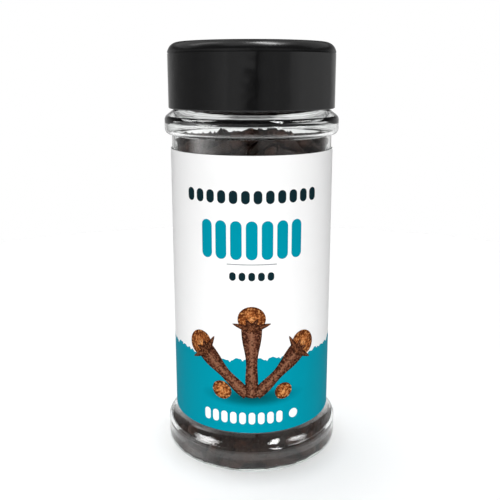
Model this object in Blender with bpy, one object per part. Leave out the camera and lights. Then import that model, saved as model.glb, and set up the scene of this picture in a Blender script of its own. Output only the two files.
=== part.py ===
"""A clear plastic spice jar full of whole cloves, with a wrap label and a black cap.

Five solids share the jar's axis, which is Z, and its front faces -Y. They are the jar, the heap
of cloves in it, the label round it, the cap's skirt and the cap's top plate.
"""

import math
import random

import bmesh
import bpy
import numpy as np
from mathutils import Matrix, Vector

MM = 0.001

# What the jar is worked out from: radii, wall and the gap kept between touching pieces
CAP_RADIUS = 24.0 * MM
BEAD_RADIUS = 25.2 * MM
BODY_RADIUS = 23.2 * MM
FOOT_RADIUS = 26.0 * MM
NECK_RADIUS = 22.1 * MM
WALL = 0.8 * MM
GAP = 0.3 * MM

# Heights above the surface that the jar stands on
FOOT_TOP = 7.1 * MM
BODY_BOTTOM = 10.5 * MM
BEAD_BOTTOM = 94.4 * MM
BEAD_TOP = 100.0 * MM
SHOULDER_TOP = 101.0 * MM
NECK_TOP = 115.0 * MM

# The jar's foot, which stands on a flat ring round a raised base
FOOT_CORNER = 1.0 * MM
RING_RADIUS = 22.4 * MM
BASE_RADIUS = 20.8 * MM
BASE_EDGE = 0.7 * MM
BASE_RISE = 2.0 * MM

# The bead under the cap
BEAD_ROUND = 1.7 * MM
BEAD_CORNER = 0.5 * MM

# The cap
CAP_WALL = 1.4 * MM
CAP_BOTTOM = SHOULDER_TOP + GAP
CAP_DECK = 1.2 * MM
SKIRT_TOP = NECK_TOP + GAP + CAP_DECK
CAP_EDGE = 0.35 * MM
LID_THICKNESS = 2.8 * MM
LID_ROUND = 2.4 * MM
LID_DOME = 0.4 * MM

# The label
LABEL_THICKNESS = 0.12 * MM
LABEL_BOTTOM = 10.9 * MM
LABEL_TOP = 90.0 * MM

# A clove of middling size
CLOVE_LENGTH = 14.0 * MM
STEM_RADIUS = 1.75 * MM
CALYX_RADIUS = 3.1 * MM
BUD_RADIUS = 2.4 * MM
LOST_BUDS = 0.2
STEM_LEAN = math.radians(9)

# The heap
HEAP_TOP = 93.5 * MM
HIGHEST_CLOVE = 98.4 * MM
CORE_INSET = 2.6 * MM
CORE_ROUGHNESS = 0.6 * MM
ROW_PITCH = 8.2 * MM
CLOVES_IN_ROW = 9
CLOVES_BELOW = 14
CLOVES_ABOVE = 17
SETTLING_STEP = 0.15 * MM
MOST_STEPS = 50
SEED = 11

TURNED_SEGMENTS = 44
CORE_SEGMENTS = 24


def material(name, colour, roughness, metallic=0.0):
    made = bpy.data.materials.new(name)
    made.use_nodes = True
    shader = made.node_tree.nodes["Principled BSDF"]
    shader.inputs["Base Color"].default_value = (*colour, 1.0)
    shader.inputs["Roughness"].default_value = roughness
    shader.inputs["Metallic"].default_value = metallic
    return made


def arc(r, z, radius, start, end, steps):
    """Points on a round corner about (r, z), from one angle to another in degrees."""
    angles = [math.radians(start + (end - start) * i / steps) for i in range(steps + 1)]
    return [(r + radius * math.cos(a), z + radius * math.sin(a)) for a in angles]


def turned(name, profile, finish, segments=TURNED_SEGMENTS):
    """The solid that a closed profile of (r, z) points makes when it turns about Z."""
    bm = bmesh.new()
    points = [bm.verts.new((0, r, z)) for r, z in profile]
    edges = [bm.edges.new(pair) for pair in zip(points, points[1:])]
    if profile[0][0] > 0 or profile[-1][0] > 0:
        edges.append(bm.edges.new((points[-1], points[0])))
    bmesh.ops.spin(
        bm, geom=points + edges, axis=(0, 0, 1), angle=math.tau, steps=segments, use_merge=True
    )
    bmesh.ops.remove_doubles(bm, verts=bm.verts, dist=0.001 * MM)
    bmesh.ops.recalc_face_normals(bm, faces=bm.faces)
    mesh = bpy.data.meshes.new(name)
    bm.to_mesh(mesh)
    bm.free()
    mesh.shade_smooth()
    mesh.set_sharp_from_angle(angle=math.radians(35))
    mesh.materials.append(finish)
    made = bpy.data.objects.new(name, mesh)
    bpy.context.scene.collection.objects.link(made)
    return made


def base_height(r):
    """Height of the raised base's underside at radius r."""
    share = min(r / BASE_RADIUS, 1.0)
    return BASE_EDGE + (BASE_RISE - BASE_EDGE) * math.cos(share * math.pi / 2)


def base_curve(lift, steps=3):
    radii = [BASE_RADIUS * i / steps for i in range(steps + 1)]
    return [(r, base_height(r) + lift) for r in radii]


def flare(inset):
    """The foot's flare, from the crease above its upright band to the straight body."""
    rise = BODY_BOTTOM - FOOT_TOP
    out = FOOT_RADIUS - BODY_RADIUS
    steps = ((0.86, 0.08), (0.5, 0.28), (0.18, 0.62), (0.0, 1.0))
    return [(BODY_RADIUS - inset + out * r, FOOT_TOP - inset * 0.4 + rise * z) for r, z in steps]


def bead_curve(inset, steps):
    """The bead's rounded underside, from the straight body up to its upright wall."""
    centre = BEAD_BOTTOM + BEAD_ROUND
    return arc(BEAD_RADIUS - BEAD_ROUND, centre, BEAD_ROUND - inset, -85, 0, steps)


def jar_outside():
    """The outer wall, from the middle of the base to the rim of the mouth."""
    return [
        *base_curve(0.0),
        (RING_RADIUS, 0.0),
        *arc(FOOT_RADIUS - FOOT_CORNER, FOOT_CORNER, FOOT_CORNER, -90, 0, 3),
        (FOOT_RADIUS, FOOT_TOP - 0.3 * MM),
        *flare(0.0),
        (BODY_RADIUS, BEAD_BOTTOM - 0.2 * MM),
        *bead_curve(0.0, 3),
        (BEAD_RADIUS, BEAD_TOP - BEAD_CORNER),
        (BEAD_RADIUS - BEAD_CORNER, BEAD_TOP),
        (NECK_RADIUS + 0.6 * MM, SHOULDER_TOP - 0.3 * MM),
        (NECK_RADIUS, SHOULDER_TOP + 0.3 * MM),
        (NECK_RADIUS, NECK_TOP),
    ]


def jar_inside():
    """The inner wall, from the rim of the mouth to the middle of the base."""
    foot = FOOT_RADIUS - WALL
    return [
        (NECK_RADIUS - WALL, NECK_TOP),
        (NECK_RADIUS - WALL, SHOULDER_TOP),
        (BEAD_RADIUS - 1.6 * WALL, BEAD_TOP - WALL),
        (BEAD_RADIUS - WALL, BEAD_TOP - 2 * WALL),
        *reversed(bead_curve(WALL, 2)),
        (BODY_RADIUS - WALL, BEAD_BOTTOM),
        *reversed(flare(WALL)),
        (foot, FOOT_TOP - 2 * WALL),
        (foot, 2 * WALL),
        (foot - WALL, WALL),
        (RING_RADIUS, WALL),
        *reversed(base_curve(WALL)),
    ]


def make_jar():
    clear = material("clear_plastic", (0.86, 0.89, 0.88), 0.08)
    return turned("jar", jar_outside() + jar_inside(), clear)


def make_cap():
    """The cap's skirt, closed by a deck over the jar's mouth."""
    black = material("cap_black", (0.02, 0.02, 0.021), 0.22)
    inner = CAP_RADIUS - CAP_WALL
    profile = [
        (0.0, SKIRT_TOP - CAP_DECK),
        (inner, SKIRT_TOP - CAP_DECK),
        (inner, CAP_BOTTOM),
        (CAP_RADIUS - CAP_EDGE, CAP_BOTTOM),
        (CAP_RADIUS, CAP_BOTTOM + CAP_EDGE),
        (CAP_RADIUS, SKIRT_TOP - CAP_EDGE),
        (CAP_RADIUS - CAP_EDGE, SKIRT_TOP),
        (0.0, SKIRT_TOP),
    ]
    return turned("cap_skirt", profile, black)


def make_lid():
    """The cap's top plate, whose rounded rim meets the skirt at a seam."""
    black = material("lid_black", (0.022, 0.022, 0.024), 0.2)
    bottom = SKIRT_TOP + GAP
    top = bottom + LID_THICKNESS
    flat = CAP_RADIUS - LID_ROUND
    rim = arc(flat, top - LID_ROUND, LID_ROUND, 0, 80, 4)
    dome = [(flat * s, top + LID_DOME * (1 - s * s)) for s in (0.6, 0.0)]
    profile = [
        (0.0, bottom),
        (CAP_RADIUS - CAP_EDGE, bottom),
        *rim,
        *dome,
    ]
    return turned("cap_lid", profile, black)


def make_label():
    """The wrap label, a thin sleeve round the straight body."""
    white = material("label_white", (0.9, 0.9, 0.9), 0.35)
    inner = BODY_RADIUS + GAP
    outer = inner + LABEL_THICKNESS
    profile = [
        (inner, LABEL_BOTTOM),
        (outer, LABEL_BOTTOM),
        (outer, LABEL_TOP),
        (inner, LABEL_TOP),
    ]
    return turned("label", profile, white)


def room_radius(z):
    """How far from the axis a clove may reach at height z, inside the jar's wall."""
    foot = FOOT_RADIUS - WALL - GAP
    body = BODY_RADIUS - WALL - GAP
    heights = (WALL, 2 * WALL, FOOT_TOP - 2.4 * WALL, FOOT_TOP - 0.6 * WALL, BODY_BOTTOM - 1.8 * WALL)
    radii = (foot - 1.2 * WALL, foot - 0.2 * WALL, foot, body + 1.2 * MM, body)
    return float(np.interp(z, heights, radii))


def room_floor(r):
    """The lowest that a clove may lie at radius r."""
    if r <= BASE_RADIUS:
        return base_height(r) + WALL + GAP
    return float(np.interp(r, (BASE_RADIUS, RING_RADIUS), (BASE_EDGE, 0.0))) + WALL + GAP


def overreach(points, place):
    """How far the worst of a placed clove's points lies outside the room in the jar."""
    worst = -1.0
    for point in points:
        x, y, z = place @ point
        r = math.hypot(x, y)
        worst = max(worst, r - room_radius(z), room_floor(r) - z, z - HIGHEST_CLOVE)
    return worst


def settled(mesh, turn, spot, outward):
    """Where a clove comes to lie, moved back from its spot until all of it is in the jar."""
    corners = [v.co for v in mesh.vertices]
    ends = [(corners[e.vertices[0]], corners[e.vertices[1]]) for e in mesh.edges]
    points = corners + [a.lerp(b, share) for a, b in ends for share in (0.33, 0.67)]
    for step in range(MOST_STEPS):
        place = Matrix.Translation(spot - outward * step * SETTLING_STEP) @ turn
        if overreach(points, place) <= 0:
            return place
    return None


def clove_mesh(draw):
    """A clove along Z: a four-sided stem, a calyx with four points, and its bud."""
    length = CLOVE_LENGTH * draw.uniform(0.8, 1.1)
    stem = STEM_RADIUS * draw.uniform(0.85, 1.1)
    calyx = CALYX_RADIUS * draw.uniform(0.85, 1.05)
    bud = BUD_RADIUS * draw.uniform(0.85, 1.05)
    neck = length - 2.4 * bud
    rings = [
        (0.6 * stem, 0.0, 0.0),
        (stem, neck, 0.0),
        (calyx, neck + 0.8 * stem, 0.0),
        (bud, length - 0.8 * bud, 0.5),
    ]
    tip = length
    if draw.random() < LOST_BUDS:
        rings.pop()
        tip = neck + 1.1 * stem

    bm = bmesh.new()
    rows = []
    for r, z, twist in rings:
        turns = [math.tau * (i + twist) / 4 for i in range(4)]
        row = [bm.verts.new((r * math.cos(a), r * math.sin(a), z - length / 2)) for a in turns]
        rows.append(row)
    for low, high in zip(rows, rows[1:]):
        for i in range(4):
            j = (i + 1) % 4
            bm.faces.new((low[i], low[j], high[i]))
            bm.faces.new((low[j], high[j], high[i]))
    bm.faces.new(list(reversed(rows[0])))
    top = bm.verts.new((0, 0, tip - length / 2))
    for i in range(4):
        bm.faces.new((rows[-1][i], rows[-1][(i + 1) % 4], top))
    bmesh.ops.triangulate(bm, faces=bm.faces)
    bmesh.ops.recalc_face_normals(bm, faces=bm.faces)
    mesh = bpy.data.meshes.new("clove")
    bm.to_mesh(mesh)
    bm.free()
    return mesh


def wall_poses(draw):
    """(turn, spot, outward) of the cloves that lie against the wall, row above row."""
    lowest = 4.0 * MM
    rows = int((HIGHEST_CLOVE - 2 * CALYX_RADIUS / 3 - lowest) / ROW_PITCH) + 1
    for row in range(rows):
        for i in range(CLOVES_IN_ROW):
            around = math.tau * (i + 0.5 * (row % 2) + draw.uniform(-0.2, 0.2)) / CLOVES_IN_ROW
            level = row in (0, rows - 1)
            tilt = draw.uniform(65, 115) if level else draw.uniform(20, 160)
            z = lowest + row * ROW_PITCH + draw.uniform(-0.8, 0.8) * MM
            outward = Vector((math.cos(around), math.sin(around), 0))
            turn = (
                Matrix.Rotation(around, 4, "Z")
                @ Matrix.Rotation(math.radians(tilt), 4, "X")
                @ Matrix.Rotation(-STEM_LEAN, 4, "Y")
                @ Matrix.Rotation(draw.uniform(0, math.tau), 4, "Z")
            )
            yield turn, outward * room_radius(z) + Vector((0, 0, z)), outward


def flat_poses(draw, count, reach, height, outward):
    """(turn, spot, outward) of the cloves that lie on the base, or on top of the heap."""
    for i in range(count):
        r = reach * math.sqrt((i + 0.5) / count)
        around = i * math.radians(137.5) + draw.uniform(-0.2, 0.2)
        turn = (
            Matrix.Rotation(draw.uniform(0, math.tau), 4, "Z")
            @ Matrix.Rotation(math.radians(90) - outward.z * draw.uniform(-0.2, 1.5) * STEM_LEAN, 4, "X")
            @ Matrix.Rotation(draw.uniform(0, math.tau), 4, "Z")
        )
        z = height - outward.z * draw.uniform(0.0, 1.2) * MM
        yield turn, Vector((r * math.cos(around), r * math.sin(around), z)), outward


def core_profile():
    """The heap's core, which keeps inside the jar's wall by the thickness of half a clove."""
    side_z = (4.2, 6.2, 9.5, 12.0, 32.0, 52.0, 72.0, 90.0)
    floor = [(BASE_RADIUS * s, room_floor(BASE_RADIUS * s) + CORE_INSET) for s in (0.0, 0.5, 0.95)]
    side = [(room_radius(z * MM) - CORE_INSET, z * MM) for z in side_z]
    top = [(BODY_RADIUS * s, HEAP_TOP) for s in (0.82, 0.4, 0.0)]
    return floor + side + top


def roughen(mesh, draw):
    """Uneven bumps on the core, so that no smooth wall shows between the cloves."""
    for vertex in mesh.vertices:
        r = math.hypot(vertex.co.x, vertex.co.y)
        if r > CALYX_RADIUS:
            vertex.co.xy *= 1 - draw.uniform(0, CORE_ROUGHNESS) / r
        if vertex.co.z > HEAP_TOP - CALYX_RADIUS / 3:
            vertex.co.z += draw.uniform(-1, 1) * CORE_ROUGHNESS


def keep_outer_skin(mesh):
    """Drops what isn't joined to the heap's outside: loose scraps and sealed hollows."""
    bm = bmesh.new()
    bm.from_mesh(mesh)
    unseen = set(bm.verts)
    skin = set()
    while unseen:
        island = {unseen.pop()}
        edge_of_island = list(island)
        while edge_of_island:
            vertex = edge_of_island.pop()
            found = {edge.other_vert(vertex) for edge in vertex.link_edges} & unseen
            unseen -= found
            island |= found
            edge_of_island.extend(found)
        skin = max(skin, island, key=len)
    loose = [vertex for vertex in bm.verts if vertex not in skin]
    bmesh.ops.delete(bm, geom=loose, context="VERTS")
    bm.to_mesh(mesh)
    bm.free()


def make_heap():
    """The cloves: those that show, fused to a core that has the form of the jar's inside."""
    brown = material("clove_brown", (0.13, 0.06, 0.032), 0.75)
    draw = random.Random(SEED)
    heap = turned("cloves", core_profile(), brown, CORE_SEGMENTS)
    roughen(heap.data, draw)
    down = Vector((0, 0, -1))
    up = Vector((0, 0, 1))
    poses = [
        *wall_poses(draw),
        *flat_poses(draw, CLOVES_BELOW, BASE_RADIUS, 2 * WALL, down),
        *flat_poses(draw, CLOVES_ABOVE, 0.78 * BODY_RADIUS, HIGHEST_CLOVE, up),
    ]
    pieces = bpy.data.collections.new("clove_pieces")
    bpy.context.scene.collection.children.link(pieces)
    for turn, spot, outward in poses:
        mesh = clove_mesh(draw)
        place = settled(mesh, turn, spot, outward)
        if place:
            mesh.transform(place)
            pieces.objects.link(bpy.data.objects.new("clove_piece", mesh))
    union = heap.modifiers.new("fuse", "BOOLEAN")
    union.operation = "UNION"
    union.operand_type = "COLLECTION"
    union.collection = pieces
    union.solver = "MANIFOLD"
    bpy.context.view_layer.update()
    fused = bpy.data.meshes.new_from_object(heap.evaluated_get(bpy.context.evaluated_depsgraph_get()))
    heap.modifiers.clear()
    heap.data = fused
    for piece in list(pieces.objects):
        bpy.data.objects.remove(piece)
    bpy.data.collections.remove(pieces)
    keep_outer_skin(heap.data)
    return heap


def main():
    for old in list(bpy.data.objects):
        bpy.data.objects.remove(old)
    make_jar()
    make_cap()
    make_lid()
    make_label()
    make_heap()


main()
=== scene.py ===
"""The looks of a clear spice jar full of whole cloves: its plastic, cloves, printed label and cap."""

import math

import bmesh
import bpy
import numpy as np
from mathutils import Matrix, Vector


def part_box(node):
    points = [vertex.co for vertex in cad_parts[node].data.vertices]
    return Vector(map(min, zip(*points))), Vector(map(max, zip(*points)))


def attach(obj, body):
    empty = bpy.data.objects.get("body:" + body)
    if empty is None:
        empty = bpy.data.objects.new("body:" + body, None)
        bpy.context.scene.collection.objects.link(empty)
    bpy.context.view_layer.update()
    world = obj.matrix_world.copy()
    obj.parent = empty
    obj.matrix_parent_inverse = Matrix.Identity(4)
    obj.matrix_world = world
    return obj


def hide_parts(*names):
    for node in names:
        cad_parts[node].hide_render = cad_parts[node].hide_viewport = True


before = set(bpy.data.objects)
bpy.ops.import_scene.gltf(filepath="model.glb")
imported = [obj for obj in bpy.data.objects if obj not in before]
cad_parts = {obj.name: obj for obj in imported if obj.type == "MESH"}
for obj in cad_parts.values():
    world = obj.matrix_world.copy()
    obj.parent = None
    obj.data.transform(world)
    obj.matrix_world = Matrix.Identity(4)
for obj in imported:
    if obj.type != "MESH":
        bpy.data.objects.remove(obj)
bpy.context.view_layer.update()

MM = 0.001
scene = bpy.context.scene

# What the frame gives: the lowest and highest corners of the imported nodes
JAR_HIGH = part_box("jar")[1]
HEAP_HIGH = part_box("cloves")[1]
LABEL_LOW, LABEL_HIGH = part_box("label")
SKIRT_LOW, SKIRT_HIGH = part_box("cap_skirt")
LID_LOW, LID_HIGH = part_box("cap_lid")
FOOT_RADIUS = JAR_HIGH[0]
LABEL_RADIUS = LABEL_HIGH[0]
CAP_RADIUS = SKIRT_HIGH[0]

# The jar's section
WALL = 0.8 * MM
BODY_RADIUS = LABEL_RADIUS - 0.42 * MM
BEAD_RADIUS = BODY_RADIUS + 2.0 * MM
NECK_RADIUS = CAP_RADIUS - 1.9 * MM
FOOT_TOP = 6.6 * MM
BODY_BOTTOM = 10.5 * MM
FOOT_CORNER = 0.8 * MM
BASE_WALL = 0.22 * MM
RING_RADIUS = 22.4 * MM
BASE_RADIUS = 20.8 * MM
BASE_EDGE = 0.7 * MM
BASE_RISE = 2.0 * MM
BEAD_BOTTOM = 94.0 * MM
BEAD_ROUND = 1.7 * MM
BEAD_TOP = 98.9 * MM
SHOULDER_TOP = SKIRT_LOW[2] - 0.3 * MM
NECK_TOP = JAR_HIGH[2]

# The heap
HEAP_TOP = HEAP_HIGH[2]
HEAP_MIDDLE = 95.0 * MM
HEAP_SLOPE = 0.07
HEAP_FALL = 1.4 * MM
CLOVE_GAP = 0.06 * MM
CORE_DEPTH = 0.9 * MM
LOW_PILE_TOP = 13.0 * MM
LOW_PILE_ROOM = LOW_PILE_TOP + 2.0 * MM
HIGH_PILE_BOTTOM = 84.5 * MM
CORE_TOP = 88.0 * MM
CORE_LUMP = 0.012
LOW_PILE_CLOVES = 165
HIGH_PILE_CLOVES = 72
# Cloves near the base are lightened, fading out by the second height: painted light for the brighter band
# of cloves seen through the jar's foot
BASE_PAINTED_LIGHT = 0.4
BASE_PAINTED_LIGHT_HEIGHTS = (1.0 * MM, 6.0 * MM)

# How the cloves settle: the share of an overlap that a step undoes, and how far a step sinks them
SETTLE_STEPS = 220
STEPS_BETWEEN_SEARCHES = 14
PUSH_SHARE = 0.4
SINK_STEP = 0.12 * MM
NEAR_GAP = 2.5 * MM
LEAST_LENGTH = 0.01 * MM

# The cap
CAP_EDGE = 0.35 * MM
CAP_WALL = 1.4 * MM
LID_ROUND = 3.1 * MM
LID_DOME = 0.4 * MM

# The label's print. Its places are distances round the label from the middle of its front, and heights
TORN_EDGE = 33.4 * MM
PRINT_LIFT = 0.02 * MM

# The photograph's camera
CAMERA_LENS = 49.1
CAMERA_DISTANCE = 200.7 * MM
CAMERA_HEIGHT = 110.7 * MM
CAMERA_PITCH = math.radians(12.44)
CAMERA_SHIFT = (-0.0034, -0.05)

FLOOR_RADIUS = 0.3
FLOOR_DROP = 0.02 * MM
ROUND_STEPS = 192


# Shader building


class Nodes:
    """The node tree of a new material, world or light, with short ways to add and join nodes."""

    def __init__(self, owner):
        owner.use_nodes = True
        self.owner = owner
        self.tree = owner.node_tree
        self.shader = self.tree.nodes.get("Principled BSDF")

    def add(self, kind, inputs=None, **settings):
        node = self.tree.nodes.new(kind)
        for key, value in settings.items():
            setattr(node, key, value)
        for key, value in (inputs or {}).items():
            if isinstance(value, bpy.types.NodeSocket):
                self.tree.links.new(value, node.inputs[key])
            else:
                node.inputs[key].default_value = value
        return node

    def set(self, **values):
        for key, value in values.items():
            socket = self.shader.inputs[key.replace("_", " ")]
            if isinstance(value, bpy.types.NodeSocket):
                self.tree.links.new(value, socket)
            else:
                socket.default_value = value

    def math(self, operation, *values):
        return self.add("ShaderNodeMath", dict(enumerate(values)), operation=operation).outputs[0]

    def place(self):
        return self.add("ShaderNodeTexCoord").outputs["Object"]

    def noise(self, scale, detail=3.0, roughness=0.55, at=None):
        """Noise of that many features in a metre."""
        inputs = {"Vector": at or self.place(), "Scale": scale, "Detail": detail, "Roughness": roughness}
        return self.add("ShaderNodeTexNoise", inputs).outputs["Fac"]

    def attribute(self, name):
        return self.add("ShaderNodeAttribute", attribute_name=name).outputs["Fac"]

    def ramp(self, value, stops):
        """Colours or greys by value. stops is a list of (position, colour)."""
        node = self.add("ShaderNodeValToRGB", {"Fac": value})
        ramp = node.color_ramp
        while len(ramp.elements) < len(stops):
            ramp.elements.new(0.5)
        for element, (position, colour) in zip(ramp.elements, stops):
            element.position = position
            element.color = (*colour, 1.0) if isinstance(colour, tuple) else (colour,) * 3 + (1.0,)
        return node.outputs["Color"]

    def mix(self, share, first, second):
        node = self.add("ShaderNodeMix", data_type="RGBA")
        for socket, value in zip((node.inputs[0], node.inputs[6], node.inputs[7]), (share, first, second)):
            if isinstance(value, bpy.types.NodeSocket):
                self.tree.links.new(value, socket)
            else:
                socket.default_value = (*value, 1.0) if isinstance(value, tuple) else value
        return node.outputs[2]

    def range(self, value, low, high, start=0.0, end=1.0):
        """The value's stretch from start to end, brought to low to high."""
        inputs = {"Value": value, "From Min": start, "From Max": end, "To Min": low, "To Max": high}
        return self.add("ShaderNodeMapRange", inputs).outputs[0]

    def bump(self, height, distance, strength=1.0):
        inputs = {"Height": height, "Distance": distance, "Strength": strength}
        return self.add("ShaderNodeBump", inputs).outputs["Normal"]


def new_material(name):
    return Nodes(bpy.data.materials.new(name))


def clear_plastic():
    """Clear moulded plastic: faintly uneven, with scuffs, and no dark shadow of its own."""
    m = new_material("clear_plastic")
    waves = m.noise(120.0, 2.0)
    scuffs = m.noise(2500.0, 4.0, 0.7)
    m.set(
        Base_Color=m.mix(m.noise(60.0), (0.97, 0.985, 0.98), (0.99, 0.995, 0.99)),
        Roughness=m.range(scuffs, 0.0, 0.06),
        Normal=m.bump(waves, 0.00012, 0.35),
    )
    m.set(IOR=1.57, Transmission_Weight=1.0, Specular_Tint=(0.85, 0.85, 0.85, 1.0))
    path = m.add("ShaderNodeLightPath")
    clear = m.add("ShaderNodeBsdfTransparent", {"Color": (0.93, 0.95, 0.94, 1.0)})
    mixed = m.add(
        "ShaderNodeMixShader",
        {0: path.outputs["Is Shadow Ray"], 1: m.shader.outputs[0], 2: clear.outputs[0]},
    )
    m.tree.links.new(mixed.outputs[0], m.tree.nodes["Material Output"].inputs["Surface"])
    return m.owner


def clove_skin(name, dark, light, gloss):
    """Dried clove: dark red-brown with lighter worn ridges. The tone attribute varies each clove, and also
    carries painted light that lightens the cloves near the base.
    """
    m = new_material(name)
    fine = m.noise(2600.0, 5.0, 0.65)
    broad = m.noise(420.0, 3.0)
    base = m.mix(m.attribute("tone"), dark, light)
    mottled = m.mix(m.range(broad, 0.0, 0.75, 0.3, 0.7), base, tuple(0.35 * v for v in dark))
    worn = m.mix(m.range(fine, 0.0, 0.5, 0.5, 0.7), mottled, tuple(min(1.0, 1.8 * v) for v in light))
    m.set(
        Base_Color=worn,
        Roughness=m.range(broad, gloss, gloss + 0.25),
        Normal=m.bump(fine, 0.00035, 0.9),
    )
    m.set(Specular_IOR_Level=0.4)
    return m.owner


def moulded_black(name, roughness):
    """Black moulded plastic, with flow marks down it and hairline scuffs."""
    m = new_material(name)
    at = m.add("ShaderNodeMapping", {"Vector": m.place(), "Scale": (1.0, 1.0, 0.15)}).outputs[0]
    flow = m.noise(90.0, 2.0, at=at)
    ripple = m.noise(190.0, 1.0)
    grain = m.noise(4000.0, 3.0, 0.6)
    m.set(
        Base_Color=m.mix(m.noise(300.0), (0.0032, 0.0032, 0.0034), (0.0055, 0.0055, 0.0058)),
        Roughness=m.range(grain, roughness - 0.03, roughness + 0.05),
        Normal=m.bump(m.math("ADD", flow, m.math("MULTIPLY", ripple, 0.8)), 0.00022, 0.6),
    )
    m.set(Specular_IOR_Level=0.56)
    return m.owner


def film_gloss(m):
    """The nearly smooth, faintly uneven gloss of a printed film."""
    m.set(
        Roughness=m.range(m.noise(5000.0, 2.0), 0.45, 0.6),
        Normal=m.bump(m.noise(240.0, 2.0), 0.00004, 0.3),
    )
    m.set(Specular_IOR_Level=0.01)


def printed_film(name, ink, other):
    """An ink with a faint unevenness."""
    m = new_material(name)
    m.set(Base_Color=m.mix(m.noise(180.0, 3.0), ink, other))
    film_gloss(m)
    return m.owner


def printed_shadow(name, ink, other, shade):
    """A soft shadow on an ink: full where the tone attribute is 0, and gone where it is 1."""
    m = new_material(name)
    plain = m.mix(m.noise(180.0, 3.0), ink, other)
    deep = m.ramp(m.attribute("tone"), [(0.0, 1.0), (0.5, 0.62), (0.8, 0.2), (1.0, 0.0)])
    m.set(Base_Color=m.mix(deep, plain, shade))
    film_gloss(m)
    return m.owner


def printed_spice(name, shade, body, light):
    """Printed spice colours: light in the middle of each shape, dark at its edge, and speckled."""
    m = new_material(name)
    speckle = m.noise(1700.0, 3.0, 0.6)
    form = m.ramp(m.attribute("tone"), [(0.0, light), (0.4, body), (1.0, shade)])
    darker = tuple(0.4 * v for v in shade)
    speckled = m.mix(m.range(speckle, 0.0, 0.8, 0.5, 0.62), form, darker)
    m.set(Base_Color=m.mix(m.range(speckle, 0.0, 0.7, 0.48, 0.36), speckled, light))
    film_gloss(m)
    return m.owner


def floor_paint():
    m = new_material("pale_floor")
    m.set(
        Base_Color=m.mix(m.noise(8.0), (0.9, 0.9, 0.9), (0.93, 0.93, 0.93)),
        Roughness=0.9,
        Specular_IOR_Level=0.1,
    )
    return m.owner


# Shapes


def add_piece(name, mesh, finish, replaced=None):
    """A mesh as a piece of the jar: placed, finished, and riding on its one body."""
    mesh.materials.clear()
    mesh.materials.append(finish)
    piece = bpy.data.objects.new(name, mesh)
    scene.collection.objects.link(piece)
    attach(piece, "root")
    if replaced:
        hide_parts(replaced)
    return piece


def arc(r, z, radius, start, end, steps):
    """Points (r, z) on a round corner, from one angle to another in degrees."""
    angles = np.radians(np.linspace(start, end, steps + 1))
    return [(r + radius * math.cos(a), z + radius * math.sin(a)) for a in angles]


def smooth_path(points, steps):
    """A smooth curve through points, with that many steps for each stretch."""
    given = np.array(points, float)
    ends = np.vstack([2 * given[0] - given[1], given, 2 * given[-1] - given[-2]])
    found = []
    for p0, p1, p2, p3 in zip(ends, ends[1:], ends[2:], ends[3:]):
        for t in np.arange(steps) / steps:
            bend = (2 * p0 - 5 * p1 + 4 * p2 - p3) * t**2 + (3 * p1 - p0 - 3 * p2 + p3) * t**3
            found.append(0.5 * (2 * p1 + (p2 - p0) * t + bend))
    return [tuple(p) for p in found] + [tuple(given[-1])]


def with_firm_ends(profile, length=1.5 * MM, inset=0.08 * MM):
    """The profile with a point near each end of its long straight parts, so that they shade flat."""
    found = [profile[0]]
    for start, end in zip(profile, profile[1:]):
        start, end = np.array(start), np.array(end)
        reach = np.linalg.norm(end - start)
        if reach > length:
            step = (end - start) * inset / reach
            found += [tuple(start + step), tuple(end - step)]
        found.append(tuple(end))
    return found


def turned_mesh(name, profile, steps=ROUND_STEPS):
    """The closed surface that a profile of (r, z) points makes when it turns about Z."""
    profile = with_firm_ends(profile)
    bm = bmesh.new()
    points = [bm.verts.new((0, r, z)) for r, z in profile]
    edges = [bm.edges.new(pair) for pair in zip(points, points[1:])]
    if profile[0][0] > 0 or profile[-1][0] > 0:
        edges.append(bm.edges.new((points[-1], points[0])))
    bmesh.ops.spin(
        bm, geom=points + edges, axis=(0, 0, 1), angle=math.tau, steps=steps, use_merge=True
    )
    bmesh.ops.remove_doubles(bm, verts=bm.verts, dist=0.001 * MM)
    bmesh.ops.recalc_face_normals(bm, faces=bm.faces)
    mesh = bpy.data.meshes.new(name)
    bm.to_mesh(mesh)
    bm.free()
    mesh.shade_smooth()
    mesh.set_sharp_from_angle(angle=math.radians(40))
    return mesh


def base_height(r):
    """Height of the raised base's underside at radius r."""
    share = min(r / BASE_RADIUS, 1.0)
    return BASE_EDGE + (BASE_RISE - BASE_EDGE) * math.cos(share * math.pi / 2)


def base_curve(lift, steps=10):
    radii = BASE_RADIUS * np.arange(steps + 1) / steps
    return [(r, base_height(r) + lift) for r in radii]


def flare(inset, steps=5):
    """The foot's flare, from the crease above its upright band to the straight body."""
    rise = BODY_BOTTOM - FOOT_TOP
    out = FOOT_RADIUS - BODY_RADIUS
    through = [(0.9, 0.03), (0.5, 0.28), (0.18, 0.62), (0.0, 1.0)]
    return smooth_path(
        [(BODY_RADIUS - inset + out * r, FOOT_TOP - 0.4 * inset + rise * z) for r, z in through],
        steps,
    )


def bead_curve(inset, steps=8):
    """The bead's rounded underside, from the straight body up to its upright wall."""
    centre = BEAD_BOTTOM + BEAD_ROUND
    return arc(BEAD_RADIUS - BEAD_ROUND, centre, BEAD_ROUND - inset, -85, 0, steps)


def shoulder():
    """The slope from the bead's upright wall to the neck."""
    through = [
        (BEAD_RADIUS, BEAD_TOP - 0.6 * MM),
        (BEAD_RADIUS - 0.25 * MM, BEAD_TOP + 0.1 * MM),
        (BEAD_RADIUS - 0.9 * MM, BEAD_TOP + 0.75 * MM),
        (NECK_RADIUS + 0.7 * MM, SHOULDER_TOP - 0.2 * MM),
        (NECK_RADIUS, SHOULDER_TOP + 0.3 * MM),
    ]
    return smooth_path(through, 3)


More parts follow.
